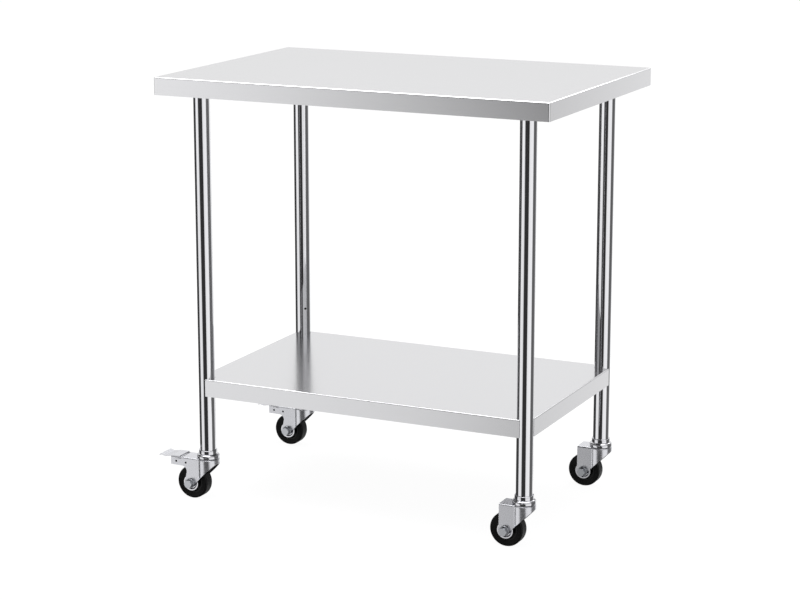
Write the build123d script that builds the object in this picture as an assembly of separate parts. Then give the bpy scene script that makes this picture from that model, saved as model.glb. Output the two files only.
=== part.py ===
from build123d import *
import os
from math import atan2, cos, degrees, pi, radians, sin, sqrt

# Stainless work table on four swivel casters.
# Millimetres. X runs along the table, Y from front to back, Z up.
# The origin is on the floor, under the centre of the worktop.

# ---------------------------------------------------------------- sizes

# Worktop: one folded sheet with a skirt all round
top_length = 914.4
top_depth = 609.6
table_height = 960.0
top_sheet = 1.2
top_skirt = 39.0
top_bend = 2.5
top_hem = 18.0

# Hat channels that stiffen the worktop and the undershelf
channel_crown = 60.0
channel_height = 15.0
channel_brim = 15.0
channel_sheet = 1.5
channel_bend = 2.5
channel_end_gap = 1.0

# Legs
leg_diameter = 36.0
leg_wall = 1.2
leg_inset = 74.3
hole_pitch = 80.0
hole_diameter = 5.5
leg_hole_count = 3
leg_top_gap = 0.5

# Leg sockets under the worktop
socket_wall = 3.0
socket_depth = 28.0
socket_plate_x = 56.0
socket_plate_y = 90.0
socket_plate = 3.0
socket_plate_corner = 6.0
socket_fit = 0.1
grub_diameter = 6.0
grub_length = 6.0
grub_key_radius = 1.7
grub_key_depth = 2.5

# Undershelf: a folded tray whose corners wrap round the legs
shelf_height = 282.3
shelf_skirt = 39.0
shelf_sheet = 1.2
shelf_bend = 2.2
shelf_hem = 14.0
shelf_leg_gap = 0.4
shelf_tip_flat = 0.5
screw_drop = 17.5
screw_fit = 0.1
screw_head_diameter = 11.0
screw_head_height = 3.6
screw_key_radius = 2.3
screw_inside_leg = 2.4

# Caster: stem, collar and swivel
wheel_radius = 37.5
trail = 35.5
collar_diameter = 41.0
collar_height = 9.3
collar_edge = 1.0
collar_groove_place = 0.27
collar_groove_width = 0.7
collar_groove_depth = 0.6
cup_diameter = 51.0
cup_height = 10.3
cup_gap = 0.7
cup_lip = 2.0
cup_crown_step = 0.4
cup_dome_out = 0.72
cup_dome_up = 0.68
stem_diameter = 12.0
stem_fit = 0.03
stem_grip = 42.0
swivel_fit = 0.08
kingpin_head_diameter = 22.0
kingpin_head_height = 4.6
kingpin_gap = 0.35
kingpin_edge = 1.5
stem_chamfer = 1.2
insert_length = 48.0
insert_fit = 0.1
insert_ribs = 4
insert_rib_share = 0.7
insert_groove_depth = 1.2
ball_diameter = 6.0
ball_ring_radius = 18.5
ball_spacing = 0.45
ball_sink = 0.8
ball_clearance = 0.35
ball_groove_fit = 0.1
ball_room_side = 1.0

# Fork
wheel_headroom = 18.5
fork_sheet = 2.5
fork_nose_radius = 25.5
fork_half_width = 22.0
fork_joggle = 4.0
fork_bend = 3.0
fork_cut_ahead = 8.5
fork_foot_radius = 13.2
fork_foot_fillet = 4.0

# Wheel and axle
tyre_width = 27.0
tyre_shoulder = 4.0
tyre_bore_radius = 25.0
tyre_ring_radii = (34.0, 31.0, 28.0)
tyre_ring_width = 1.4
tyre_ring_depth = 0.9
core_rim_width = 24.0
core_rim_wall = 3.0
core_web = 6.0
hub_radius = 12.0
guard_radius = 18.0
guard_sheet = 1.0
guard_side_gap = 0.6
guard_rim = 2.4
guard_dish = 2.5
guard_flat_margin = 0.5
guard_slope_shift = 0.4
guard_tyre_gap = 0.3
sleeve_wall = 2.0
axle_diameter = 10.0
axle_fit = 0.05
axle_hole_fit = 0.1
bolt_flats = 17.0
bolt_boss_radius = 11.2
bolt_boss_height = 4.0
bolt_boss_edge = 1.2
bolt_hex_height = 8.0
bolt_hex_rounding = 1.1
bolt_hex_chamfer = 0.8
bolt_end = 2.0
bolt_end_chamfer = 1.0
nut_height = 8.0
nut_collar_height = 2.4
nut_collar_step = 0.8
nut_collar_edge = 1.0
nut_washer = 1.6
nut_washer_step = 1.0

# Brake: distances called behind are measured back from the axle
top_end_behind = 20.2
bracket_behind = 49.1
bracket_above_wheel = 1.4
bracket_gap = 0.4
bracket_end_drop = 0.9
slot_behind = 21.5
slot_length = 16.0
slot_height = 1.2
slot_below_top = 3.4
waist_behind = 20.5
waist_above_axle = 26.5
waist_radius = 11.9
pin_diameter = 5.0
pin_proud = 0.3
pivot_behind = 10.9
pivot_above_wheel = 9.0
tie_behind_pivot = 24.6
tie_above_pivot = 1.0
pedal_sheet = 2.0
pedal_width = 43.0
pedal_bend = 1.6
pedal_step = 1.8
pedal_start_behind = 26.0
pedal_knee_behind = 46.5
pedal_toe_behind = 64.5
pedal_knee_drop = 0.3
pedal_toe_drop = 3.4
lip_reach = 11.5
lip_rise = 3.1
curl_reach = 4.0
curl_drop = 3.6
ear_side_gap = 0.5
ear_eye_radius = 6.5
ear_width = 8.7
ear_overlap = 0.2
# Ear corners as (along, up) from the pivot: rear underside, front underside, front top, mid top
ear_rear_shoulder = (-17.5, 1.5)
ear_heel = (-7.0, -7.0)
ear_front = (5.7, -3.0)
ear_brow = (-4.8, 4.4)
ear_neck = (-12.6, 5.8)
ear_top = 9.5
pivot_fit = 0.08
shoe_gap = 0.4
shoe_thickness = 4.0
shoe_margin_angle = 0.8
shoe_sweep_angle = 10.5
spring_wire = 1.0
spring_pin_gap = 0.1
spring_turns = 5
spring_pitch = 1.8
spring_lift_angle = 38.0
spring_arm = 14.0

# ---------------------------------------------------------------- places

leg_x = top_length / 2 - leg_inset
leg_y = top_depth / 2 - leg_inset
leg_radius = leg_diameter / 2
corners = {
    "front_left": (-leg_x, -leg_y),
    "front_right": (leg_x, -leg_y),
    "rear_left": (-leg_x, leg_y),
    "rear_right": (leg_x, leg_y),
}
braked = ("front_left", "rear_left")

fork_inner = fork_half_width - fork_sheet
wheel_top = 2 * wheel_radius
plate_under = wheel_top + wheel_headroom
fork_height = plate_under + fork_sheet
cup_bottom = fork_height + cup_gap
collar_bottom = cup_bottom + cup_height
leg_bottom = collar_bottom + collar_height
top_under = table_height - top_sheet
channel_bottom = top_under - channel_height
leg_top = channel_bottom - socket_plate - leg_top_gap
shelf_length = 2 * (leg_x + leg_radius)
shelf_depth = 2 * (leg_y + leg_radius)
screw_height = shelf_height - screw_drop
stem_radius = stem_diameter / 2
axle_radius = axle_diameter / 2
sleeve_radius = axle_radius + axle_fit + sleeve_wall
pivot_x = -(trail + pivot_behind)
pivot_height = wheel_top + pivot_above_wheel
pedal_height = fork_height + pedal_step
pin_radius = pin_diameter / 2


# ---------------------------------------------------------------- helpers

def upright(radius, low, high):
    """Cylinder on the Z axis between two heights."""
    return Pos(0, 0, low) * Cylinder(radius, high - low, align=(Align.CENTER, Align.CENTER, Align.MIN))


def crosswise(radius, low, high, x=0.0, z=0.0):
    """Cylinder along Y between two depths, at a place in the XZ plane."""
    body = Cylinder(radius, high - low, align=(Align.CENTER, Align.CENTER, Align.MIN))
    return Pos(x, low, z) * Rot(-90, 0, 0) * body


def side_plate(face, low, high):
    """Flat outline drawn as (x, z), made solid between two depths."""
    # The plane's own normal points to -Y, so the outline starts at the far depth.
    outline = Plane(origin=(0, high, 0), x_dir=(1, 0, 0), z_dir=(0, -1, 0)) * face
    return extrude(outline, high - low)


def turned(points):
    """Ring or disc turned about the Z axis from (radius, height) points."""
    profile = Plane.XZ * make_face(Polyline(*points, close=True))
    return revolve(profile, Axis.Z)


def turned_crosswise(points, centre_height):
    """Wheel part turned about an axle along Y, from (radius, depth) points."""
    wheel = turned(points)
    return Pos(-trail, 0, centre_height) * Rot(-90, 0, 0) * wheel


def folded_strip(points, bend, sheet, width):
    """Bent sheet: an (x, z) path with rounded bends, thickened below, as wide as given along Y."""
    path = FilletPolyline(*points, radius=bend)
    outline = offset(path, sheet, side=Side.RIGHT)
    return side_plate(make_face(outline), -width / 2, width / 2)


def hat_channel(length):
    """Hat section along X, its brims up against a sheet at height 0."""
    half_crown = channel_crown / 2
    outer = half_crown + channel_brim
    crown = channel_sheet - channel_height
    left = [(-outer, 0), (-half_crown, 0), (-half_crown, crown)]
    points = left + [(-x, z) for x, z in reversed(left)]
    return Rot(0, 0, 90) * folded_strip(points, channel_bend, channel_sheet, length)


def corner_copies(piece):
    """The same piece under every leg, as separate solids in one node."""
    return Compound(children=[Pos(x, y, 0) * piece for x, y in corners.values()])


def facing_centre(x, y):
    """Angle of the diagonal line from a corner towards the middle of the table."""
    across = 180.0 if x > 0 else 0.0
    return across + (45.0 if x * y > 0 else -45.0)


def save(shape, name):
    export_step(shape, f"parts/{name}.step")


# ---------------------------------------------------------------- worktop and shelf

def leg_notch(radius, height):
    """What is cut from one shelf corner: room for the leg, and the corner beyond it."""
    reach = 3 * leg_diameter
    side = leg_radius - shelf_tip_flat
    tip = sqrt(radius ** 2 - side ** 2) if radius > side else 0.0
    low = (Align.MIN, Align.MIN, Align.MIN)
    notch = Cylinder(radius, height, align=(Align.CENTER, Align.CENTER, Align.MIN))
    notch += Box(reach, reach, height, align=low)
    notch += Pos(-tip, side, 0) * Box(reach, reach, height, align=low)
    notch += Pos(side, -tip, 0) * Box(reach, reach, height, align=low)
    return notch


def tray_block(length, depth, low, high, bend, notch_radius):
    """Solid block with its upper and upright edges rounded, and its corners cut for the legs."""
    block = Pos(0, 0, low) * Box(length, depth, high - low, align=(Align.CENTER, Align.CENTER, Align.MIN))
    rounded = block.edges().filter_by(Axis.Z) + block.edges().group_by(Axis.Z)[-1]
    block = fillet(rounded, bend)
    if notch_radius > 0:
        notch = leg_notch(notch_radius, high - low)
        for x, y in corners.values():
            turn = (0.0 if x > 0 else 90.0) if y > 0 else (-90.0 if x > 0 else 180.0)
            block -= Pos(x, y, low) * Rot(0, 0, turn) * notch
    return block


def folded_tray(length, depth, top, skirt, sheet, bend, hem, notch_radius):
    """Sheet folded down all round, with a hem turned inwards along the bottom."""
    bottom = top - skirt
    inner_notch = notch_radius + sheet if notch_radius > 0 else 0.0
    tray = tray_block(length, depth, bottom, top, bend, notch_radius)
    inner_length = length - 2 * sheet
    inner_depth = depth - 2 * sheet
    tray -= tray_block(inner_length, inner_depth, bottom + sheet, top - sheet, bend - sheet, inner_notch)
    mouth_length = inner_length - 2 * hem
    mouth_depth = inner_depth - 2 * hem
    tray -= tray_block(mouth_length, mouth_depth, bottom - sheet, bottom + 3 * sheet, sheet, inner_notch)
    return tray


def make_worktop():
    return folded_tray(top_length, top_depth, table_height, top_skirt, top_sheet, top_bend, top_hem, 0.0)


def make_undershelf():
    wrap = leg_radius + shelf_leg_gap
    shelf = folded_tray(
        shelf_length, shelf_depth, shelf_height, shelf_skirt, shelf_sheet, shelf_bend, shelf_hem, wrap
    )
    for x, y in corners.values():
        shelf -= Pos(x, y, screw_height) * Rot(0, 0, facing_centre(x, y)) * radial_drill(
            hole_diameter / 2 + 2 * screw_fit, leg_diameter
        )
    return shelf


def radial_drill(radius, length):
    """Cutter for a hole that runs outwards along +X from the axis."""
    return Rot(0, 90, 0) * Cylinder(radius, length, align=(Align.CENTER, Align.CENTER, Align.MIN))


def make_leg_channel(side):
    length = top_depth - 2 * (top_sheet + channel_end_gap)
    return Pos(side * leg_x, 0, top_under) * Rot(0, 0, 90) * hat_channel(length)


def make_centre_channel():
    half_hat = channel_crown / 2 + channel_brim
    length = 2 * (leg_x - half_hat - channel_end_gap)
    return Pos(0, 0, top_under) * hat_channel(length)


def make_shelf_channel():
    length = shelf_length - 2 * (shelf_sheet + channel_end_gap)
    return Pos(0, 0, shelf_height - shelf_sheet) * hat_channel(length)


# ---------------------------------------------------------------- legs and what holds them

def make_leg(x, y):
    tube = upright(leg_radius, leg_bottom, leg_top)
    tube -= upright(leg_radius - leg_wall, leg_bottom - 1, leg_top + 1)
    drill = radial_drill(hole_diameter / 2, leg_diameter)
    middle = (leg_hole_count - 1) / 2
    for index in range(leg_hole_count):
        height = screw_height + (index - middle) * hole_pitch
        tube -= Pos(0, 0, height) * Rot(0, 0, facing_centre(x, y)) * drill
    return Pos(x, y, 0) * tube


def make_leg_socket():
    bore = leg_radius + socket_fit
    outer = bore + socket_wall
    plate_low = channel_bottom - socket_plate
    cup_low = plate_low - socket_depth
    socket = upright(outer, cup_low, plate_low)
    plate = Box(socket_plate_x, socket_plate_y, socket_plate, align=(Align.CENTER, Align.CENTER, Align.MIN))
    plate = fillet(plate.edges().filter_by(Axis.Z), socket_plate_corner)
    socket += Pos(0, 0, plate_low) * plate
    socket -= upright(bore, cup_low - 1, plate_low)
    grub_height = cup_low + socket_depth / 2
    socket -= Pos(0, 0, grub_height) * radial_drill(grub_diameter / 2, 2 * outer)
    return socket


def make_grub_screw():
    height = channel_bottom - socket_plate - socket_depth / 2
    screw = radial_drill(grub_diameter / 2 - stem_fit, grub_length)
    key = Rot(0, 90, 0) * extrude(RegularPolygon(grub_key_radius, 6), grub_length)
    return Pos(leg_radius, 0, height) * (screw - Pos(grub_length - grub_key_depth, 0, 0) * key)


def make_shelf_screw(x, y):
    """Button-head screw from inside the shelf's corner, through its wrap and into the leg."""
    seat = leg_radius + shelf_leg_gap + shelf_sheet + screw_fit
    inner_end = leg_radius - leg_wall - screw_inside_leg
    shank = Pos(inner_end, 0, 0) * radial_drill(hole_diameter / 2 - screw_fit / 2, seat - inner_end + 1)
    head = Pos(seat, 0, 0) * radial_drill(screw_head_diameter / 2, screw_head_height)
    head = fillet(head.edges().group_by(Axis.X)[-1], screw_head_height / 2)
    key = Rot(0, 90, 0) * extrude(RegularPolygon(screw_key_radius, 6), screw_head_height)
    screw = shank + head - Pos(seat + screw_head_height / 2, 0, 0) * key
    return Pos(x, y, screw_height) * Rot(0, 0, facing_centre(x, y)) * screw


def make_leg_insert():
    """Ribbed plug in the leg's foot that the caster's stem screws into."""
    outer = leg_radius - leg_wall - insert_fit
    groove = outer - insert_groove_depth
    pitch = insert_length / insert_ribs
    points = [(stem_radius + stem_fit, leg_bottom)]
    for rib in range(insert_ribs):
        low = leg_bottom + rib * pitch
        high = low + insert_rib_share * pitch
        points += [(outer, low), (outer, high), (groove, high), (groove, low + pitch)]
    points.append((stem_radius + stem_fit, leg_bottom + insert_length))
    return turned(points)


# ---------------------------------------------------------------- caster, fixed half

def make_collar():
    """Bright ring under the leg, with one fine groove below its upper bead."""
    outer = collar_diameter / 2
    groove_high = leg_bottom - collar_groove_place * collar_height
    groove_low = groove_high - collar_groove_width
    groove = upright(outer + 1, groove_low, groove_high)
    groove -= upright(outer - collar_groove_depth, groove_low, groove_high)
    ring = upright(outer, collar_bottom, leg_bottom)
    ring = fillet(ring.edges(), collar_edge)
    ring -= groove
    ring -= upright(stem_radius + stem_fit, collar_bottom - 1, leg_bottom + 1)
    return ring


def make_swivel_cup():
    """Domed upper half of the swivel, hollow underneath for the ball ring."""
    outer = cup_diameter / 2
    crown = collar_diameter / 2 + cup_crown_step
    belly = cup_bottom + 2 * cup_lip
    lip_middle = cup_lip * (1 - cos(radians(45)))
    bore = stem_radius + stem_fit
    lip_start = (outer - cup_lip, cup_bottom)
    lip_bulge = (outer - lip_middle, cup_bottom + lip_middle)
    lip_end = (outer, cup_bottom + cup_lip)
    dome_bulge = (
        crown + cup_dome_out * (outer - crown),
        belly + cup_dome_up * (collar_bottom - belly),
    )
    outline = Curve() + [
        Polyline((bore, collar_bottom), (bore, cup_bottom), lip_start),
        ThreePointArc(lip_start, lip_bulge, lip_end),
        Line(lip_end, (outer, belly)),
        ThreePointArc((outer, belly), dome_bulge, (crown, collar_bottom)),
        Line((crown, collar_bottom), (bore, collar_bottom)),
    ]
    dome = revolve(Plane.XZ * make_face(outline), Axis.Z)
    roof = fork_height - ball_sink + ball_diameter + ball_clearance
    half_room = ball_diameter / 2 + ball_room_side
    room = upright(ball_ring_radius + half_room, cup_bottom - 1, roof)
    room -= upright(ball_ring_radius - half_room, cup_bottom - 1, roof)
    return dome - room


def make_kingpin():
    """Headed stem: it carries the fork and screws up into the leg."""
    head_top = plate_under - kingpin_gap
    head = upright(kingpin_head_diameter / 2, head_top - kingpin_head_height, head_top)
    head = fillet(head.edges().group_by(Axis.Z)[0], kingpin_edge)
    stem_top = leg_bottom + stem_grip
    stem = upright(stem_radius, head_top - 1, stem_top)
    stem = chamfer(stem.edges().group_by(Axis.Z)[-1], stem_chamfer)
    return head + stem


# ---------------------------------------------------------------- caster, turning half

def make_ball_ring():
    """Loose balls between the fork and the cup."""
    count = int(2 * pi * ball_ring_radius / (ball_diameter + ball_spacing))
    height = fork_height - ball_sink + ball_diameter / 2
    balls = []
    for index in range(count):
        ball = Pos(ball_ring_radius, 0, 0) * Sphere(ball_diameter / 2)
        balls.append(Pos(0, 0, height) * Rot(0, 0, 360 * index / count) * ball)
    return balls


def fork_plan(inset, reach):
    """Outline of the fork seen from above: round nose, straight cheeks, a joggle between them."""
    cheek = fork_half_width
    cheeks = Pos(-reach / 2, 0) * Rectangle(reach, 2 * cheek)
    outline = Circle(fork_nose_radius) + cheeks
    meeting = -sqrt(fork_nose_radius ** 2 - cheek ** 2)
    inside = [v for v in outline.vertices() if abs(v.X - meeting) < 0.01]
    outline = fillet(inside, fork_joggle)
    if inset > 0:
        outline = offset(outline, -inset)
    return outline


def behind(distance):
    """X of a place measured back from the axle."""
    return -(trail + distance)


def fork_side(with_brake):
    """Outline of the fork seen from the side, as (x, z)."""
    front = fork_nose_radius + 1
    rise = wheel_radius + trail - fork_cut_ahead * sqrt(2)
    half_chord = sqrt(fork_foot_radius ** 2 - fork_cut_ahead ** 2)
    foot_x = -trail + (fork_cut_ahead - half_chord) / sqrt(2)
    foot_z = foot_x + rise
    diagonal = fork_foot_radius / sqrt(2)
    foot_side = (-trail - diagonal, wheel_radius - diagonal)
    heel = (behind(fork_foot_radius), wheel_radius)
    rear = behind(top_end_behind) if with_brake else heel[0]
    sloping = Polyline((rear, fork_height), (front, fork_height), (front, front + rise), (foot_x, foot_z))
    foot = ThreePointArc((foot_x, foot_z), foot_side, heel)
    if with_brake:
        back = bracket_edges(rear, heel)
    else:
        back = [Line(heel, (rear, fork_height))]
    face = make_face(Curve() + [sloping, foot] + back)
    sharp = [v for v in face.vertices() if abs(v.X - foot_x) < 0.01 and abs(v.Y - foot_z) < 0.01]
    return fillet(sharp, fork_foot_fillet)


def bracket_edges(rear, heel):
    """Back edge of a braked fork: the waist over the tyre, then the bracket that carries the pedal."""
    waist_x = behind(waist_behind)
    waist_z = wheel_radius + waist_above_axle
    top = pedal_height - pedal_sheet - bracket_gap
    end = behind(bracket_behind)
    waist = {}
    for angle in (-20, 45, 90):
        turn = radians(angle)
        waist[angle] = (waist_x + waist_radius * cos(turn), waist_z + waist_radius * sin(turn))
    outline = [
        waist[90],
        (end, wheel_top + bracket_above_wheel),
        (end, top - bracket_end_drop),
        (behind(pedal_knee_behind - 1), top - pedal_knee_drop),
        (rear, top),
        (rear, fork_height),
    ]
    return [Line(heel, waist[-20]), ThreePointArc(waist[-20], waist[45], waist[90]), Polyline(*outline)]


def make_fork(with_brake):
    reach = trail + bracket_behind + 20
    low = wheel_radius - fork_foot_radius - 1
    block = Pos(0, 0, low) * extrude(fork_plan(0, reach), fork_height - low)
    top_edges = block.edges().group_by(Axis.Z)[-1]
    long_edges = [e for e in top_edges if e.center().X > -reach + 1]
    block = fillet(long_edges, fork_bend)
    inner = Pos(0, 0, low) * extrude(fork_plan(fork_sheet, reach + 20), plate_under - low)
    fork = block - inner
    fork &= side_plate(fork_side(with_brake), -fork_nose_radius - 1, fork_nose_radius + 1)
    fork -= upright(stem_radius + swivel_fit, plate_under - 1, fork_height + 1)
    groove_height = fork_height - ball_sink + ball_diameter / 2
    groove = Torus(ball_ring_radius, ball_diameter / 2 + ball_groove_fit)
    fork -= Pos(0, 0, groove_height) * groove
    depth = fork_nose_radius + 1
    fork -= crosswise(axle_radius + axle_hole_fit, -depth, depth, -trail, wheel_radius)
    if with_brake:
        for x, z in brake_pin_places():
            fork -= crosswise(pin_radius, -depth, depth, x, z)
        open_top = Box(reach, 2 * fork_inner, 4 * fork_sheet, align=(Align.MAX, Align.CENTER, Align.CENTER))
        fork -= Pos(behind(top_end_behind), 0, fork_height) * open_top
        slot = Box(slot_length, 2 * depth, slot_height)
        slot_z = pedal_height - pedal_sheet - bracket_gap - slot_below_top
        fork -= Pos(behind(slot_behind + slot_length / 2), 0, slot_z) * slot
    return fork


def make_axle_bolt():
    """Bolt along the axle: its boss and hexagon head are on the front side."""
    face = -fork_half_width
    head_end = face - bolt_boss_height - bolt_hex_height
    boss = crosswise(bolt_boss_radius, face - bolt_boss_height, face)
    boss = fillet(boss.edges().group_by(Axis.Y)[0], bolt_boss_edge)
    hexagon = extrude(RegularPolygon(bolt_flats / 2, 6, major_radius=False), bolt_hex_height + 1)
    head = Pos(0, head_end, 0) * Rot(-90, 0, 0) * hexagon
    round_off = crosswise(bolt_flats / 2 + bolt_hex_rounding, head_end, face)
    round_off = chamfer(round_off.edges().group_by(Axis.Y)[0], bolt_hex_chamfer)
    head &= round_off
    tail = fork_half_width + nut_washer + nut_height + bolt_end
    shank = crosswise(axle_radius, face - 1, tail)
    shank = chamfer(shank.edges().group_by(Axis.Y)[-1], bolt_end_chamfer)
    return Pos(-trail, 0, wheel_radius) * (boss + head + shank)


def make_axle_nut():
    """Washer and locking nut on the back side, as one staked piece."""
    face = fork_half_width
    washer = crosswise(bolt_boss_radius - nut_washer_step, face, face + nut_washer)
    outline = RegularPolygon(bolt_flats / 2, 6, major_radius=False)
    hexagon = extrude(outline, nut_height - nut_collar_height)
    nut = Pos(0, face + nut_washer, 0) * Rot(-90, 0, 0) * hexagon
    collar_radius = bolt_flats / 2 - nut_collar_step
    collar = crosswise(collar_radius, face + nut_washer, face + nut_washer + nut_height)
    collar = fillet(collar.edges().group_by(Axis.Y)[-1], nut_collar_edge)
    bore = crosswise(axle_radius + axle_fit, face - 1, face + nut_washer + nut_height + 1)
    return Pos(-trail, 0, wheel_radius) * (washer + nut + collar - bore)


def make_axle_sleeve():
    sleeve = crosswise(sleeve_radius, -fork_inner, fork_inner)
    sleeve -= crosswise(axle_radius + axle_fit, -fork_inner - 1, fork_inner + 1)
    return Pos(-trail, 0, wheel_radius) * sleeve


# ---------------------------------------------------------------- wheel

def make_tyre():
    half = tyre_width / 2
    tread = crosswise(wheel_radius, -half, half)
    tread = fillet(tread.edges(), tyre_shoulder)
    tread -= crosswise(tyre_bore_radius, -half - 1, half + 1)
    for radius in tyre_ring_radii:
        for face in (-half, half):
            low = face - tyre_ring_depth
            high = face + tyre_ring_depth
            ring = crosswise(radius, low, high)
            ring -= crosswise(radius - tyre_ring_width, low - 1, high + 1)
            tread -= ring
    return Pos(-trail, 0, wheel_radius) * tread


def make_wheel_core():
    """Moulded centre: rim, web and hub, running on the axle sleeve."""
    bore = sleeve_radius + axle_fit
    half_rim = core_rim_width / 2
    half_web = core_web / 2
    half_hub = fork_inner - guard_side_gap - guard_dish - guard_sheet
    rim_inner = tyre_bore_radius - core_rim_wall
    points = [
        (bore, -half_hub), (hub_radius, -half_hub), (hub_radius, -half_web),
        (rim_inner, -half_web), (rim_inner, -half_rim), (tyre_bore_radius, -half_rim),
        (tyre_bore_radius, half_rim), (rim_inner, half_rim), (rim_inner, half_web),
        (hub_radius, half_web), (hub_radius, half_hub), (bore, half_hub),
    ]
    return turned_crosswise(points, wheel_radius)


def make_thread_guards():
    """Two dished steel discs that close the hub and keep string off the axle."""
    bore = sleeve_radius + axle_fit
    face = fork_inner - guard_side_gap
    dish = face - guard_dish
    flat = hub_radius + guard_flat_margin
    rim_inner = guard_radius - guard_rim
    rim_wall = guard_radius - guard_sheet
    skirt = tyre_width / 2 + guard_tyre_gap
    back = face - guard_sheet
    outside = [(bore, dish), (flat, dish), (rim_inner, face), (guard_radius, face), (guard_radius, skirt)]
    inside = [
        (rim_wall, skirt), (rim_wall, back), (rim_inner + guard_slope_shift, back),
        (flat + guard_slope_shift, dish - guard_sheet), (bore, dish - guard_sheet),
    ]
    discs = []
    for side in (-1, 1):
        outline = [(radius, side * depth) for radius, depth in outside + inside]
        discs.append(turned_crosswise(outline, wheel_radius))
    return discs


# ---------------------------------------------------------------- brake

def brake_pin_places():
    pivot = (pivot_x, pivot_height)
    tie = (pivot_x - tie_behind_pivot, pivot_height + tie_above_pivot)
    return pivot, tie


def make_brake_pins():
    end = fork_half_width + pin_proud
    pins = []
    for x, z in brake_pin_places():
        pin = crosswise(pin_radius - stem_fit, -end, end, x, z)
        ends = pin.edges().group_by(Axis.Y)
        pins.append(chamfer(ends[0] + ends[-1], pin_proud))
    return pins


def shoe_arcs():
    """Near and far arcs of the shoe, both round the wheel's centre, from the pivot's side backwards."""
    towards_pivot = degrees(atan2(pivot_behind, wheel_radius + pivot_above_wheel))
    start = 90 + towards_pivot + shoe_margin_angle
    centre = Pos(-trail, wheel_radius)
    near = centre * CenterArc((0, 0), wheel_radius + shoe_gap, start, shoe_sweep_angle)
    far = centre * CenterArc((0, 0), wheel_radius + shoe_gap + shoe_thickness, start, shoe_sweep_angle)
    return near, far


def make_pedal():
    """Foot plate with a curled lip, and two ears that hang on the pivot pin."""
    toe_height = pedal_height - pedal_toe_drop
    lip_x = behind(pedal_toe_behind + lip_reach)
    start_x = behind(pedal_start_behind)
    path = [
        (lip_x - curl_reach, toe_height + lip_rise - curl_drop),
        (lip_x, toe_height + lip_rise),
        (behind(pedal_toe_behind), toe_height),
        (behind(pedal_knee_behind), pedal_height - pedal_knee_drop),
        (start_x, pedal_height),
    ]
    pedal = folded_strip(path, pedal_bend, pedal_sheet, pedal_width)
    under = pedal_height - pedal_sheet / 2
    near, far = shoe_arcs()
    eye = Pos(pivot_x, pivot_height) * Circle(ear_eye_radius)
    shoulder, heel, front, brow, neck = (
        (pivot_x + along, pivot_height + up)
        for along, up in (ear_rear_shoulder, ear_heel, ear_front, ear_brow, ear_neck)
    )
    start = start_x - ear_overlap
    # The upper edge stays low enough to swing up past the end of the fork's top plate.
    outline = [(start, under), (start_x - ear_width, under), shoulder, heel, near @ 1, near @ 0]
    outline += [front, brow, neck, (start, pivot_height + ear_top)]
    arm = make_face(Polyline(*outline, close=True))
    ear = eye + arm
    outer = fork_inner - ear_side_gap
    inner = outer - pedal_sheet
    pedal += side_plate(ear, inner, outer)
    pedal += side_plate(ear, -outer, -inner)
    pedal -= crosswise(pin_radius + pivot_fit, -outer - 1, outer + 1, pivot_x, pivot_height)
    return pedal


def make_brake_shoe():
    """Curved block between the pedal's ears, concentric with the tyre."""
    near, far = shoe_arcs()
    face = make_face(Curve() + [near, far, Line(near @ 0, far @ 0), Line(near @ 1, far @ 1)])
    half = fork_inner - ear_side_gap - pedal_sheet
    return side_plate(face, -half, half)


def make_brake_spring():
    """Torsion spring on the pivot pin, one end over the tie pin and the other under the pedal."""
    radius = tie_above_pivot + pin_radius + spring_wire / 2 + spring_pin_gap
    turns = spring_turns + (180 + spring_lift_angle) / 360
    length = turns * spring_pitch
    from_top = Rot(-90, 0, 0) * Rot(0, 0, -90) * Helix(spring_pitch, length, radius)
    coil = Pos(pivot_x, -length / 2, pivot_height) * from_top
    hook = Line(coil @ 0 - (coil % 0) * tie_behind_pivot, coil @ 0)
    push = Line(coil @ 1, coil @ 1 + (coil % 1) * spring_arm)
    path = Wire([hook.edge(), coil.edge(), push.edge()])
    return sweep(Plane(path @ 0, z_dir=path % 0) * Circle(spring_wire / 2), path=path)


# ---------------------------------------------------------------- build and save

def save_table():
    save(make_worktop(), "worktop")
    save(make_leg_channel(-1), "leg_channel_left")
    save(make_leg_channel(1), "leg_channel_right")
    save(make_centre_channel(), "top_channel_centre")
    save(corner_copies(make_leg_socket()), "leg_sockets")
    save(corner_copies(make_grub_screw()), "socket_grub_screws")
    for name, (x, y) in corners.items():
        save(make_leg(x, y), f"leg_{name}")
    save(make_undershelf(), "undershelf")
    save(make_shelf_channel(), "shelf_channel")
    save(Compound(children=[make_shelf_screw(x, y) for x, y in corners.values()]), "shelf_screws")
    save(corner_copies(make_leg_insert()), "leg_inserts")


def save_casters():
    save(corner_copies(make_collar()), "caster_collars")
    save(corner_copies(make_swivel_cup()), "swivel_cups")
    save(corner_copies(make_kingpin()), "kingpins")
    plain = {
        "swivel_balls": make_ball_ring(),
        "axle_bolt": [make_axle_bolt()],
        "axle_nut": [make_axle_nut()],
        "axle_sleeve": [make_axle_sleeve()],
        "tyre": [make_tyre()],
        "wheel_core": [make_wheel_core()],
        "thread_guards": make_thread_guards(),
    }
    brake = {
        "brake_pedal": [make_pedal()],
        "brake_shoe": [make_brake_shoe()],
        "brake_pins": make_brake_pins(),
        "brake_spring": [make_brake_spring()],
    }
    forks = {True: make_fork(True), False: make_fork(False)}
    for corner, (x, y) in corners.items():
        pieces = {"fork": [forks[corner in braked]], **plain}
        if corner in braked:
            pieces.update(brake)
        for name, solids in pieces.items():
            placed = [Pos(x, y, 0) * solid for solid in solids]
            save(placed[0] if len(placed) == 1 else Compound(children=placed), f"{name}_{corner}")


os.makedirs("parts", exist_ok=True)
save_table()
save_casters()
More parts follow.
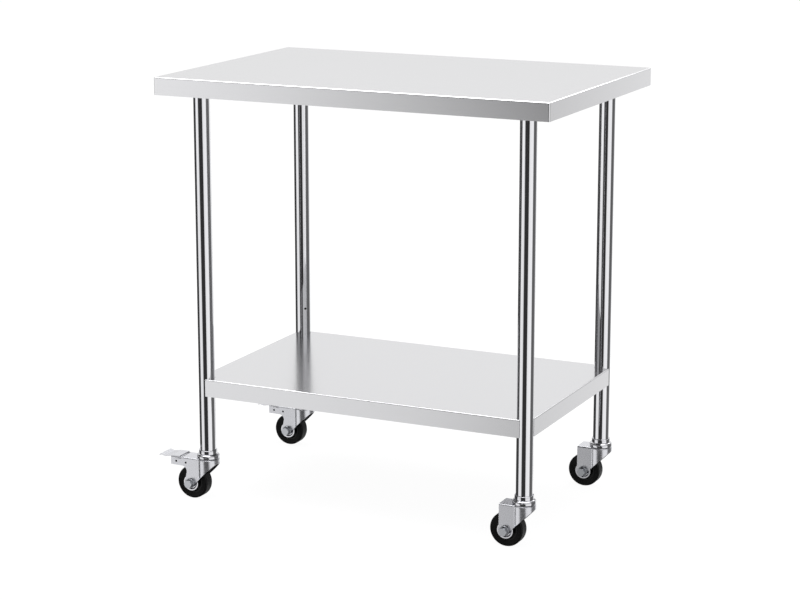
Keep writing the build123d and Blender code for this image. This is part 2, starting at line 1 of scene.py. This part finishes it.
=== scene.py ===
import math
import bpy
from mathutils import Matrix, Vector

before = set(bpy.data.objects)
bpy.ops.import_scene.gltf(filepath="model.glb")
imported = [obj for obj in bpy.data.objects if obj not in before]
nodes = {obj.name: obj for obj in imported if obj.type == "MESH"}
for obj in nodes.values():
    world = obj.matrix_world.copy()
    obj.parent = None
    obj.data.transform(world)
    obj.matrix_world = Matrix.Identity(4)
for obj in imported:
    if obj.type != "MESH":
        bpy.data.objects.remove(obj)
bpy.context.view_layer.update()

scene = bpy.context.scene
print("frame loaded:", len(nodes), "pieces")


def linear(hexColour):
    # sRGB hex to the linear values that shaders work in
    out = []
    for start in (0, 2, 4):
        c = int(hexColour[start:start + 2], 16) / 255
        out.append(c / 12.92 if c <= 0.04045 else ((c + 0.055) / 1.055) ** 2.4)
    return (*out, 1.0)


def grey(value):
    return (value, value, value, 1.0)


def addNode(tree, kind, settings=None, inputs=None):
    # one node, its settings, and what goes into its sockets: values or other nodes' outputs
    node = tree.nodes.new(kind)
    for name, value in (settings or {}).items():
        if name == "stops":       # the greys along a ramp, each with its place from 0 to 1
            ramp = node.color_ramp
            while len(ramp.elements) > 1:
                ramp.elements.remove(ramp.elements[-1])
            for index, (place, level) in enumerate(value):
                stop = ramp.elements.new(place) if index else ramp.elements[0]
                stop.position = place
                stop.color = grey(level)
        else:
            setattr(node, name, value)
    for name, value in (inputs or {}).items():
        if isinstance(value, bpy.types.NodeSocket):
            tree.links.new(value, node.inputs[name])
        else:
            node.inputs[name].default_value = value
    return node


# camera: standing off to the right of the front, leaning down a little
viewpoint = {
    "place": (2.079, -4.416, 1.589),
    "turn": 25.33,      # degrees to the left of straight ahead
    "tilt": 12.38,      # degrees down
    "lens": 101.0,      # millimetres
    "shift": (-0.0022, -0.0375),
    "farClip": 200.0,   # past the floor's far corners
}


def makeCamera(v):
    data = bpy.data.cameras.new("tableCamera")
    camera = bpy.data.objects.new("tableCamera", data)
    scene.collection.objects.link(camera)
    data.lens = v["lens"]
    data.shift_x, data.shift_y = v["shift"]
    data.clip_end = v["farClip"]
    camera.location = v["place"]
    camera.rotation_euler = (math.radians(90 - v["tilt"]), 0, math.radians(v["turn"]))
    scene.camera = camera


makeCamera(viewpoint)
scene.view_settings.view_transform = "Standard"
scene.view_settings.look = "None"
print("camera set")


# The surround is a dome painted as if white boards and black flags stood round the table,
# so that polished steel shows dark and light stripes. The camera itself sees plain white.
surround = {
    "strength": 1.25,         # multiplies every brightness here and in the boards
    "paper": 0.816,           # what the camera sees behind the table
    "ceiling": (0.84, 0.84, 0.8526, 1.0),
    "under": 0.08,            # shaded ground straight below
    "lowGrey": 0.55,          # mixed into the boards far below the horizon,
    "lowShare": 0.45,         # this much of it, so that sheet edges don't turn black
    "cardGrey": 0.52,
}

# brightness all round the table: degrees from the front towards the right, then the grey
boardsBelow = [
    (-180, 0.85), (-168, 0.80), (-150, 0.25), (-130, 0.045), (-67, 0.045), (-64, 0.88),
    (-24.5, 0.82), (-16, 0.03), (34, 0.03), (38, 0.84), (60, 0.90), (90, 0.94), (95, 0.13),
    (120, 0.11), (143, 0.16), (154, 0.42), (161, 0.88), (172, 0.90), (180, 0.85),
]
boardsLevel = [
    (-180, 0.85), (-168, 0.80), (-150, 0.25), (-130, 0.045), (-67, 0.045), (-64, 0.97),
    (-30, 0.95), (-20, 0.03), (34, 0.03), (38, 0.84), (60, 0.90), (90, 0.94), (95, 0.13),
    (120, 0.11), (143, 0.16), (156, 0.36), (161, 0.90), (172, 0.95), (180, 0.90),
]
boardsAbove = [
    (-180, 0.69), (-118, 0.69), (-112, 0.04), (-67, 0.04), (-64, 0.32), (-32, 0.32),
    (-24, 0.03), (22, 0.03), (28, 0.55), (90, 0.60), (95, 0.13), (143, 0.16), (158, 0.40),
    (168, 0.69), (180, 0.69),
]
# share of the two grey cards that break up the black flags on the left and at the front
cards = [
    (-180, 0.0), (-112, 0.0), (-104, 1.0), (-76, 1.0), (-68, 0.0), (-15, 0.0), (-9, 1.0),
    (12, 1.0), (18, 0.0), (180, 0.0),
]

# each fade: degrees above the horizon where it starts and ends, then its value at both
fades = {
    "under": (-26.74, -48.59, 0.0, 1.0),
    "below": (-24.0, -20.0, 0.0, 1.0),
    "level": (-12.0, -8.0, 0.0, 1.0),
    "cardFoot": (-7.0, -4.5, 0.0, 1.0),
    "above": (-1.0, 1.0, 0.0, 1.0),
    "cardTop": (8.0, 14.0, 1.0, 0.0),
    "lift": (6.0, 16.0, 1.0, 1.15),      # the upper boards get brighter with height
    "ceiling": (42.0, 56.0, 0.0, 1.0),
}


def makeSurround(s):
    world = bpy.data.worlds.new("studioSurround")
    scene.world = world
    world.use_nodes = True
    tree = world.node_tree
    tree.nodes.clear()
    facing = addNode(tree, "ShaderNodeTexCoord").outputs["Generated"]
    at = addNode(tree, "ShaderNodeSeparateXYZ", inputs={0: facing}).outputs
    ahead = addNode(
        tree, "ShaderNodeMath", {"operation": "MULTIPLY"}, {0: at["Y"], 1: -1.0}
    ).outputs[0]
    angle = addNode(
        tree, "ShaderNodeMath", {"operation": "ARCTAN2"}, {0: at["X"], 1: ahead}
    ).outputs[0]
    around = addNode(
        tree, "ShaderNodeMath", {"operation": "MULTIPLY_ADD"},
        {0: angle, 1: 1 / math.tau, 2: 0.5},
    ).outputs[0]
    below, level, above, card = (
        addNode(
            tree, "ShaderNodeValToRGB",
            {"stops": [(degrees / 360 + 0.5, value) for degrees, value in painted]},
            {0: around},
        ).outputs[0]
        for painted in (boardsBelow, boardsLevel, boardsAbove, cards)
    )
    fade = {
        name: addNode(
            tree, "ShaderNodeMapRange", {"interpolation_type": "SMOOTHSTEP"}, {
                "Value": at["Z"],
                "From Min": math.sin(math.radians(low)),
                "From Max": math.sin(math.radians(high)),
                "To Min": first,
                "To Max": last,
            },
        ).outputs[0]
        for name, (low, high, first, last) in fades.items()
    }
    lifted = addNode(
        tree, "ShaderNodeVectorMath", {"operation": "SCALE"}, {0: above, "Scale": fade["lift"]}
    ).outputs[0]
    for edge in ("cardFoot", "cardTop"):
        card = addNode(
            tree, "ShaderNodeMath", {"operation": "MULTIPLY"}, {0: card, 1: fade[edge]}
        ).outputs[0]
    cameraRay = addNode(tree, "ShaderNodeLightPath").outputs["Is Camera Ray"]
    # each layer covers the ones before it by its share
    layers = [
        (s["lowShare"], grey(s["lowGrey"])),
        (fade["below"], below),
        (fade["level"], level),
        (fade["above"], lifted),
        (card, grey(s["cardGrey"])),
        (fade["ceiling"], s["ceiling"]),
        (fade["under"], grey(s["under"])),
        (cameraRay, grey(s["paper"])),
    ]
    look = below
    for share, cover in layers:
        look = addNode(
            tree, "ShaderNodeMix", {"data_type": "RGBA"}, {0: share, 6: look, 7: cover}
        ).outputs[2]
    background = addNode(
        tree, "ShaderNodeBackground", inputs={"Color": look, "Strength": s["strength"]}
    )
    addNode(tree, "ShaderNodeOutputWorld", inputs={"Surface": background.outputs[0]})


floorPaint = {
    "name": "Matt white floor paint",
    "width": 120.0,
    "drop": 0.0002,           # a hair under the wheels
    "colour": "F4F4F5",
    "glow": 1.06,
    "glowShare": 0.90,        # how far the floor is lit from within
}


def makeFloor(s):
    # matt paint over a light table: white, with only a faint shadow at the wheels
    half = s["width"] / 2
    corners = [(-half, -half, 0), (half, -half, 0), (half, half, 0), (-half, half, 0)]
    mesh = bpy.data.meshes.new("studioFloor")
    mesh.from_pydata(corners, [], [(0, 1, 2, 3)])
    floor = bpy.data.objects.new("studioFloor", mesh)
    scene.collection.objects.link(floor)
    floor.location.z = -s["drop"]
    floor.visible_glossy = False       # so that skirts and legs don't turn white at their feet
    floor.visible_diffuse = False
    material = bpy.data.materials.new(s["name"])
    material.use_nodes = True
    tree = material.node_tree
    tree.nodes.clear()
    matt = addNode(
        tree, "ShaderNodeBsdfDiffuse", inputs={"Color": linear(s["colour"]), "Roughness": 1.0}
    )
    glow = addNode(
        tree, "ShaderNodeEmission", inputs={"Color": grey(1.0), "Strength": s["glow"]}
    )
    both = addNode(
        tree, "ShaderNodeMixShader",
        inputs={0: s["glowShare"], 1: matt.outputs[0], 2: glow.outputs[0]},
    )
    addNode(tree, "ShaderNodeOutputMaterial", inputs={"Surface": both.outputs[0]})
    mesh.materials.append(material)


softboxes = {
    "overheadSoftbox": {
        "place": (-0.3, 0.1, 3.1), "size": (3.4, 2.6), "power": 95.0, "aim": (0, 0, 0.5),
    },
    "backSoftbox": {
        "place": (0.5, 3.8, 2.9), "size": (1.6, 1.0), "power": 14.0, "aim": (0.2, 0, 0.96),
    },
}


def makeSoftbox(name, s):
    data = bpy.data.lights.new(name, "AREA")
    data.shape = "RECTANGLE"
    data.size, data.size_y = s["size"]
    data.energy = s["power"]
    light = bpy.data.objects.new(name, data)
    scene.collection.objects.link(light)
    light.location = s["place"]
    toward = Vector(s["aim"]) - Vector(s["place"])
    light.rotation_euler = toward.to_track_quat("-Z", "Y").to_euler()
    light.visible_camera = False


makeSurround(surround)
makeFloor(floorPaint)
for name, values in softboxes.items():
    makeSoftbox(name, values)
print("studio ready")


finishes = {}
noiseSpan = (0.3, 0.7)      # most of a noise's values lie between these


def newMaterial(name, slotName):
    material = bpy.data.materials.new(name)
    material.use_nodes = True
    material.node_tree.nodes.clear()
    finishes[slotName] = material
    return material.node_tree


def closeMaterial(tree, inputs):
    # values that are the same all over go straight on the shader's own sockets
    shader = addNode(tree, "ShaderNodeBsdfPrincipled", inputs=inputs)
    addNode(tree, "ShaderNodeOutputMaterial", inputs={"Surface": shader.outputs[0]})


brushedSheet = {
    "colour": "DCDCDE",
    "colourSwing": 0.012,
    "roughness": 0.17,
    "roughnessSwing": 0.012,
    "lineWidth": 0.0022,      # real grain is about 0.2 mm, too fine to show: ten times as coarse
    "lineLength": 0.16,
    "lineDepth": 0.0001,
    "bump": 0.01,
    "handlingSize": 0.2,      # broad areas a little more or less worn
    "paintedBendHighlight": "F6F6F8",   # painted highlight: the bends are drawn paler than the sheet so that they show a bright line
    "bendRoughness": 0.10,
    "bendStart": 0.999,       # how squarely the sheet faces an axis: a bend begins below this
    "bendFull": 0.98,
}


def brushedStainless(name, slotName, s):
    # brushed stainless sheet: a satin grain along the table blurs what it reflects into soft
    # streaks, and the folded edges are smoother and painted paler, a painted highlight, so they
    # show a thin bright line
    tree = newMaterial(name, slotName)
    place = addNode(tree, "ShaderNodeTexCoord").outputs["Object"]
    at = addNode(tree, "ShaderNodeSeparateXYZ", inputs={0: place}).outputs
    facing = addNode(tree, "ShaderNodeNewGeometry").outputs["Normal"]
    steep = addNode(
        tree, "ShaderNodeVectorMath", {"operation": "ABSOLUTE"}, {0: facing}
    ).outputs[0]
    side = addNode(tree, "ShaderNodeSeparateXYZ", inputs={0: steep}).outputs
    # the sheet is folded down at its edges, so the grain runs on over each bend
    along, across = (
        addNode(
            tree, "ShaderNodeMath", {"operation": "MULTIPLY_ADD"},
            {0: at["Z"], 1: side[axis], 2: at[axis]},
        ).outputs[0]
        for axis in ("X", "Y")
    )
    unfolded = addNode(tree, "ShaderNodeCombineXYZ", inputs={0: along, 1: across}).outputs[0]
    stretched = addNode(
        tree, "ShaderNodeVectorMath", {"operation": "MULTIPLY"},
        {0: unfolded, 1: (1 / s["lineLength"], 1 / s["lineWidth"], 1.0)},
    ).outputs[0]
    grain = addNode(
        tree, "ShaderNodeTexNoise", {"noise_dimensions": "2D"},
        {"Vector": stretched, "Scale": 1.0},
    ).outputs[0]
    handling = addNode(
        tree, "ShaderNodeTexNoise",
        inputs={"Vector": place, "Scale": 1 / s["handlingSize"], "Detail": 3.0},
    ).outputs[0]
    steel = linear(s["colour"])
    dark = (*(c * (1 - s["colourSwing"]) for c in steel[:3]), 1.0)
    grained = addNode(
        tree, "ShaderNodeMix", {"data_type": "RGBA"}, {0: grain, 6: dark, 7: steel}
    ).outputs[2]
    square = side["Z"]
    for axis in ("X", "Y"):
        square = addNode(
            tree, "ShaderNodeMath", {"operation": "MAXIMUM"}, {0: square, 1: side[axis]}
        ).outputs[0]
    # where the sheet bends: this mask carries both the painted highlight colour and the smoother
    # roughness
    bend = addNode(
        tree, "ShaderNodeMapRange", {"interpolation_type": "SMOOTHSTEP"},
        {"Value": square, "From Min": s["bendStart"], "From Max": s["bendFull"]},
    ).outputs[0]
    # painted highlight: the paler bend colour is mixed in at the folded edges
    colour = addNode(
        tree, "ShaderNodeMix", {"data_type": "RGBA"},
        {0: bend, 6: grained, 7: linear(s["paintedBendHighlight"])},
    ).outputs[2]
    streaky = addNode(
        tree, "ShaderNodeMapRange", inputs={
            "Value": grain,
            "From Min": noiseSpan[0],
            "From Max": noiseSpan[1],
            "To Min": s["roughness"] - s["roughnessSwing"] / 2,
            "To Max": s["roughness"] + s["roughnessSwing"] / 2,
        }
    ).outputs[0]
    worn = addNode(
        tree, "ShaderNodeMath", {"operation": "MULTIPLY_ADD"},
        {0: handling, 1: s["roughnessSwing"], 2: streaky},
    ).outputs[0]
    rough = addNode(
        tree, "ShaderNodeMix", {"data_type": "FLOAT"}, {0: bend, 2: worn, 3: s["bendRoughness"]}
    ).outputs[0]
    normal = addNode(
        tree, "ShaderNodeBump",
        inputs={"Height": grain, "Strength": s["bump"], "Distance": s["lineDepth"]},
    ).outputs[0]
    closeMaterial(
        tree, {"Base Color": colour, "Roughness": rough, "Normal": normal, "Metallic": 1.0}
    )


brushedStainless("Brushed stainless worktop sheet", "worktop_sheet", brushedSheet)
brushedStainless("Brushed stainless shelf sheet", "shelf_sheet", brushedSheet)


polishedTube = {
    "colour": "DEDEE1",
    "colourSwing": 0.03,
    "roughness": 0.055,
    "roughnessSwing": 0.03,
    "lineWidth": 0.0015,      # real lines are under 0.1 mm, drawn coarser so that they show
    "lineLength": 0.25,
}


def drawnSteel(name, slotName, s):
    # polished stainless tube: mirror-clear stripes with faint polishing lines along them
    tree = newMaterial(name, slotName)
    place = addNode(tree, "ShaderNodeTexCoord").outputs["Object"]
    stretched = addNode(
        tree, "ShaderNodeVectorMath", {"operation": "MULTIPLY"},
        {0: place, 1: (1 / s["lineWidth"], 1 / s["lineWidth"], 1 / s["lineLength"])},
    ).outputs[0]
    lines = addNode(
        tree, "ShaderNodeTexNoise", inputs={"Vector": stretched, "Scale": 1.0}
    ).outputs[0]
    steel = linear(s["colour"])
    dark = (*(c * (1 - s["colourSwing"]) for c in steel[:3]), 1.0)
    colour = addNode(
        tree, "ShaderNodeMix", {"data_type": "RGBA"}, {0: lines, 6: dark, 7: steel}
    ).outputs[2]
    rough = addNode(
        tree, "ShaderNodeMapRange", inputs={
            "Value": lines,
            "From Min": noiseSpan[0],
            "From Max": noiseSpan[1],
            "To Min": s["roughness"],
            "To Max": s["roughness"] + s["roughnessSwing"],
        }
    ).outputs[0]
    closeMaterial(tree, {"Base Color": colour, "Roughness": rough, "Metallic": 1.0})


drawnSteel("Polished stainless tube", "leg_tube", polishedTube)


# steel with a plated, galvanised or ground surface. patch is the size of its cloudy spots in
# metres: 2 mm on small parts, and 6 to 12 mm on the larger ones, where finer spots would
# only show as speckle
treatedSteel = {
    # bright zinc on pressed sheet: soft, even, pale grey with no clear image in it
    "zinc_plate": {
        "name": "Bright zinc plated pressing",
        "light": "DCDCE0", "dark": "D3D4D9", "roughness": 0.27, "swing": 0.03, "patch": 0.012,
    },
    # nickel on turned steel: nearly a mirror, with a bright rim and a black line round it
    "bright_plate": {
        "name": "Nickel plated turned steel",
        "light": "DADADD", "dark": "D2D2D6", "roughness": 0.07, "swing": 0.02, "patch": 0.010,
    },
    # hot-dip zinc on the hidden sections: dull grey with a mottled spangle
    "galvanised_steel": {
        "name": "Galvanised steel section",
        "light": "B4B8BB", "dark": "9A9EA2", "roughness": 0.42, "swing": 0.15, "patch": 0.012,
    },
    # ground balls: small sharp highlights
    "bearing_steel": {
        "name": "Ground bearing steel",
        "light": "C9CBCF", "dark": "BBBDC2", "roughness": 0.08, "swing": 0.04, "patch": 0.002,
    },
    # zinc on the axle bolts: darker than the forks, so the heads stand out from them
    "bolt_plate": {
        "name": "Zinc plated axle bolt steel",
        "light": "BBBDC1", "dark": "ADAFB4", "roughness": 0.18, "swing": 0.04, "patch": 0.006,
    },
    # zinc on small screws: greyer and duller than the pressings
    "fastener_steel": {
        "name": "Zinc plated screw steel",
        "light": "C4C6CA", "dark": "A9ABB0", "roughness": 0.28, "swing": 0.08, "patch": 0.002,
    },
    # black oxide: dark with a low oily shine
    "black_steel": {
        "name": "Black oxide steel",
        "light": "1B1B1D", "dark": "101012", "roughness": 0.38, "swing": 0.12, "patch": 0.002,
    },
}
clouding = {"bump": 0.006, "depth": 0.0002}


def cloudySteel(slotName, s):
    tree = newMaterial(s["name"], slotName)
    place = addNode(tree, "ShaderNodeTexCoord").outputs["Object"]
    cloud = addNode(
        tree, "ShaderNodeTexNoise", inputs={"Vector": place, "Scale": 1 / s["patch"]}
    ).outputs[0]
    colour = addNode(
        tree, "ShaderNodeMix", {"data_type": "RGBA"},
        {0: cloud, 6: linear(s["dark"]), 7: linear(s["light"])},
    ).outputs[2]
    rough = addNode(
        tree, "ShaderNodeMapRange", inputs={
            "Value": cloud,
            "From Min": noiseSpan[0],
            "From Max": noiseSpan[1],
            "To Min": s["roughness"] - s["swing"] / 2,
            "To Max": s["roughness"] + s["swing"] / 2,
        }
    ).outputs[0]
    normal = addNode(
        tree, "ShaderNodeBump",
        inputs={"Height": cloud, "Strength": clouding["bump"], "Distance": clouding["depth"]},
    ).outputs[0]
    closeMaterial(
        tree, {"Base Color": colour, "Roughness": rough, "Normal": normal, "Metallic": 1.0}
    )


for slotName, values in treatedSteel.items():
    cloudySteel(slotName, values)


# moulded rubber and plastics. grain is the mould's texture in metres: it's really about
# 0.1 mm, and drawn as 0.7 to 0.9 mm so that it shows
moulded = {
    # carbon-black rubber: nearly black, with a weak broad sheen on the shoulder
    "tyre_rubber": {
        "name": "Moulded black rubber", "colour": "070708", "worn": "0E0E0F",
        "roughness": 0.45, "grain": 0.0009, "bump": 0.15, "gloss": 0.22,
    },
    # moulded hub: as black as the tyre, a little smoother
    "wheel_core": {
        "name": "Moulded black polypropylene", "colour": "060607", "worn": "0B0B0C",
        "roughness": 0.40, "grain": 0.0007, "bump": 0.10, "gloss": 0.3,
    },
    # ribbed plugs: mid grey and waxy
    "insert_nylon": {
        "name": "Moulded grey nylon", "colour": "3A3B3D", "worn": "48494B",
        "roughness": 0.5, "grain": 0.0008, "bump": 0.15, "gloss": 0.5,
    },
}
wear = {
    "patch": 1 / 60,          # metres across a worn patch
    "span": (0.45, 0.7),      # noise values between clean and fully worn
    "smoother": 0.05,         # roughness taken away in clean patches
    "duller": 0.08,           # and added in worn ones
    "grainDepth": 0.0002,
}


def mouldedPlastic(slotName, s):
    tree = newMaterial(s["name"], slotName)
    place = addNode(tree, "ShaderNodeTexCoord").outputs["Object"]
    grain = addNode(
        tree, "ShaderNodeTexNoise", inputs={"Vector": place, "Scale": 1 / s["grain"]}
    ).outputs[0]
    broad = addNode(
        tree, "ShaderNodeTexNoise",
        inputs={"Vector": place, "Scale": 1 / wear["patch"], "Detail": 4.0},
    ).outputs[0]
    worn = addNode(
        tree, "ShaderNodeMapRange",
        inputs={"Value": broad, "From Min": wear["span"][0], "From Max": wear["span"][1]},
    ).outputs[0]
    colour = addNode(
        tree, "ShaderNodeMix", {"data_type": "RGBA"},
        {0: worn, 6: linear(s["colour"]), 7: linear(s["worn"])},
    ).outputs[2]
    rough = addNode(
        tree, "ShaderNodeMapRange", inputs={
            "Value": broad,
            "From Min": noiseSpan[0],
            "From Max": noiseSpan[1],
            "To Min": s["roughness"] - wear["smoother"],
            "To Max": s["roughness"] + wear["duller"],
        }
    ).outputs[0]
    normal = addNode(
        tree, "ShaderNodeBump",
        inputs={"Height": grain, "Strength": s["bump"], "Distance": wear["grainDepth"]},
    ).outputs[0]
    closeMaterial(tree, {
        "Base Color": colour, "Roughness": rough, "Normal": normal,
        "Metallic": 0.0, "IOR": 1.5, "Specular IOR Level": s["gloss"],
    })


for slotName, values in moulded.items():
    mouldedPlastic(slotName, values)
print("materials made:", len(finishes))


# every piece of the frame gets the finish its slot names; the axle bolts have their own
for name, piece in nodes.items():
    for slot in piece.material_slots:
        slotName = slot.material.name.split(".")[0]
        if name.startswith("axle_bolt"):
            slotName = "bolt_plate"
        slot.material = finishes[slotName]
print("finishes given to", len(nodes), "pieces")
